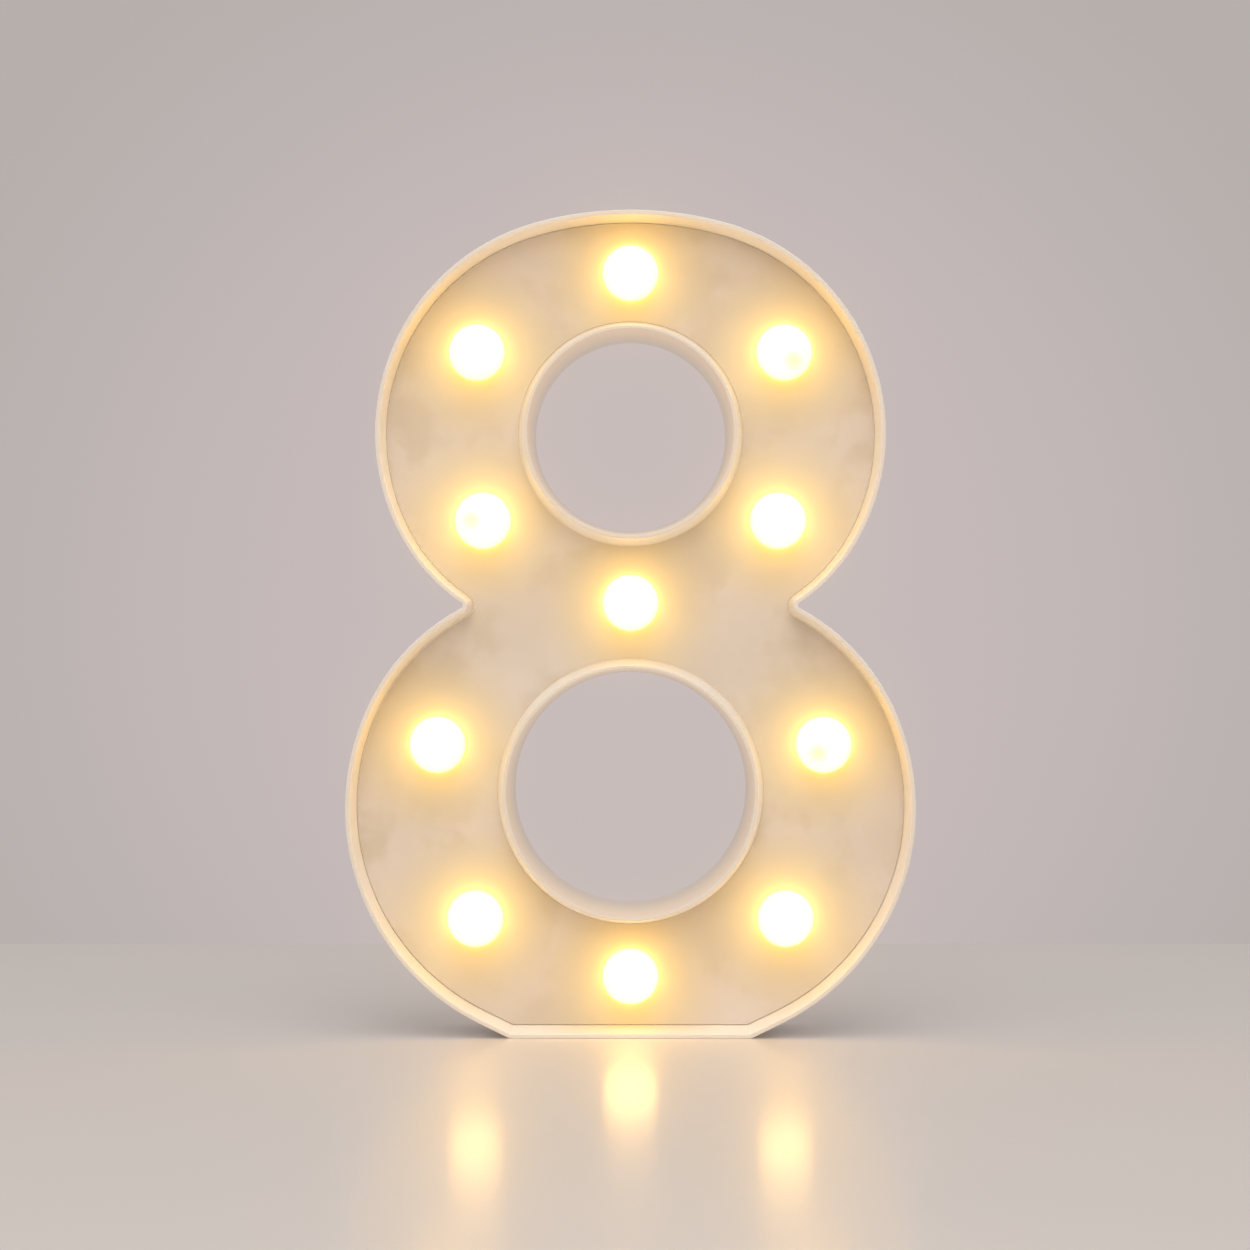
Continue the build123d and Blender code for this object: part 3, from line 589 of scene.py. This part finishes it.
# Battery box: an open tray moulded in the cover's plastic, but left smooth. It hangs from the cover by
# two ears, each held by one screw.
box_grain = 0.06

dress(moulded_plastic("box_plastic", cover_light, cover_dark, box_grain)[0], "battery_box")


# Contacts: stamped plates and wound springs of nickel-plated steel, pressed into the tray. Their
# rolled surface is finely streaked along the tray.
nickel_light = (0.80, 0.78, 0.73, 1)
nickel_dark = (0.60, 0.57, 0.52, 1)
rolled_streaks = (0.05, 1.0, 1.0)
streak_scale = 4200.0
metal_cloud = 220.0
metal_bump = 0.18
metal_bump_depth = 0.00002
all_metal = 1.0
nickel_roughness = 0.20
nickel_roughness_change = 0.16


def metal(name, light, dark, ways, roughness, roughness_change):
    """Plated or rolled metal: clouded, with fine streaks that catch the light."""
    material, place = new_finish(name)
    cloud = noise(place, metal_cloud, fine_detail)
    streak = noise(stretched(place, ways), streak_scale)
    return apply_finish(material, {
        "Base Color": blend(cloud, dark, light),
        "Metallic": all_metal,
        "Roughness": streak * roughness_change + roughness,
        "Normal": relief(streak, metal_bump, metal_bump_depth),
    })


nickel_plate = metal(
    "nickel_plate", nickel_light, nickel_dark, rolled_streaks, nickel_roughness, nickel_roughness_change
)
dress(nickel_plate, "positive_plate", "negative_plate", "bridge_plate", "negative_spring", "bridge_spring")


# Cells: a drawn steel can in a shrunk sleeve, which stops at the two bare ends. The sleeve is plain,
# with one silver band near the positive end.
cells = (
    ("battery_cell_1", -1),
    ("battery_cell_2", 1),
)
nub_length = 0.001
sleeve_edge = 0.0004
band_start = 0.0085
band_width = 0.0022
sleeve_light = (0.060, 0.105, 0.090, 1)
sleeve_dark = (0.045, 0.080, 0.068, 1)
can_light = (0.76, 0.75, 0.72, 1)
can_dark = (0.60, 0.58, 0.54, 1)
sleeve_roughness = 0.24
sleeve_roughness_change = 0.10
sleeve_cloud = 120.0
sleeve_bump = 0.15
sleeve_bump_depth = 0.00005


def cell_finish(name, nub_side):
    material, place = new_finish(f"{name}_sleeve")
    low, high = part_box(name)
    along = part_along(place, "X")
    if nub_side > 0:
        from_nub = high.x - along
    else:
        from_nub = along - low.x
    nub_end = from_nub < nub_length + sleeve_edge
    flat_end = from_nub > high.x - low.x - sleeve_edge
    band = (from_nub > band_start) * (from_nub < band_start + band_width)
    silver = nub_end + flat_end + band
    cloud = noise(place, sleeve_cloud)
    can = blend(noise(place, tinned_patch), can_dark, can_light)
    return apply_finish(material, {
        "Base Color": blend(silver, blend(cloud, sleeve_dark, sleeve_light), can),
        "Metallic": silver,
        "Roughness": cloud * sleeve_roughness_change + sleeve_roughness,
        "Normal": relief(cloud, sleeve_bump, sleeve_bump_depth),
    })


for name, nub_side in cells:
    dress(cell_finish(name, nub_side), name)


# Resistor: a carbon film on a ceramic rod under tan lacquer, with painted rings, soldered upright
# between the negative tab and the black wire.
resistor_low, resistor_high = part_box("resistor")
resistor_lead = 0.008
lacquer_light = (0.60, 0.46, 0.28, 1)
lacquer_dark = (0.50, 0.37, 0.21, 1)
ring_width = 0.0007
ring_red = (0.42, 0.02, 0.015, 1)
ring_gold = (0.62, 0.42, 0.12, 1)
rings = (
    (0.0052, ring_red),
    (0.0040, ring_red),
    (0.0028, ring_gold),
    (0.0009, ring_gold),
)
lacquer_cloud = 900.0
resistor_roughness = 0.22
resistor_roughness_change = 0.12


def resistor_finish():
    material, place = new_finish("resistor_lacquer")
    height = part_along(place, "Z")
    body_foot = resistor_low.z + resistor_lead
    body_top = resistor_high.z - resistor_lead
    cloud = noise(place, lacquer_cloud)
    colour = blend(cloud, lacquer_dark, lacquer_light)
    for middle, ring in rings:
        on_ring = abs(height - (body_foot + middle)) < ring_width / 2
        colour = blend(on_ring, colour, ring)
    bare = (height < body_foot) + (height > body_top)
    return apply_finish(material, {
        "Base Color": blend(bare, colour, blend(noise(place, tinned_patch), tinned_dark, tinned_light)),
        "Metallic": bare,
        "Roughness": cloud * resistor_roughness_change + resistor_roughness,
    })


dress(resistor_finish(), "resistor")


# Battery lead: one red wire, round the tray from the positive tab to the switch. Its two ends are
# stripped and tinned.
lead_low, lead_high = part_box("battery_lead")
tab_end = (lead_low.x, lead_high.y, lead_high.z)
switch_end = (lead_high.x, middle_of("switch_terminals").y, lead_low.z)

dress(insulation("lead_insulation", red_light, red_dark, (tab_end, switch_end)), "battery_lead")


# Slide switch: a folded can of tinned steel round a phenolic board, with three tinned terminals and
# a black knob that slides in the can's window.
tin_light = (0.76, 0.75, 0.73, 1)
tin_dark = (0.64, 0.63, 0.60, 1)
tin_roughness = 0.26
tin_roughness_change = 0.14
board_light = (0.27, 0.135, 0.055, 1)
board_dark = (0.16, 0.075, 0.030, 1)
board_fibres = (1.0, 1.0, 0.12)
board_fibre_scale = 2600.0
board_roughness = 0.42
board_roughness_change = 0.16
board_bump = 0.2
board_bump_depth = 0.00003
knob_light = (0.034, 0.034, 0.035, 1)
knob_dark = (0.020, 0.020, 0.021, 1)
knob_grain = 0.35


def phenolic_board():
    material, place = new_finish("phenolic_board")
    fibre = noise(stretched(place, board_fibres), board_fibre_scale, fine_detail)
    return apply_finish(material, {
        "Base Color": blend(fibre, board_dark, board_light),
        "Roughness": fibre * board_roughness_change + board_roughness,
        "Normal": relief(fibre, board_bump, board_bump_depth),
    })


tin_plate = metal("tin_plate", tin_light, tin_dark, rolled_streaks, tin_roughness, tin_roughness_change)
dress(tin_plate, "switch_frame", "switch_terminals")
dress(phenolic_board(), "switch_base")
dress(moulded_plastic("knob_plastic", knob_light, knob_dark, knob_grain)[0], "switch_knob")


# Screws: zinc-plated steel with pressed cross recesses. Eight hold the cover, two the tray and two
# the switch.
zinc_light = (0.70, 0.71, 0.71, 1)
zinc_dark = (0.50, 0.50, 0.49, 1)
zinc_ways = (1.0, 0.4, 1.0)
zinc_roughness = 0.24
zinc_roughness_change = 0.22

dress(
    metal("zinc_plate", zinc_light, zinc_dark, zinc_ways, zinc_roughness, zinc_roughness_change),
    "cover_screws",
    "box_screws",
    "switch_screws",
)


# Battery door: a separate moulding in the cover's colour and texture. It turns on two pins at one end
# and is held by a latch at the other.
dress(cover_plastic, "battery_door")
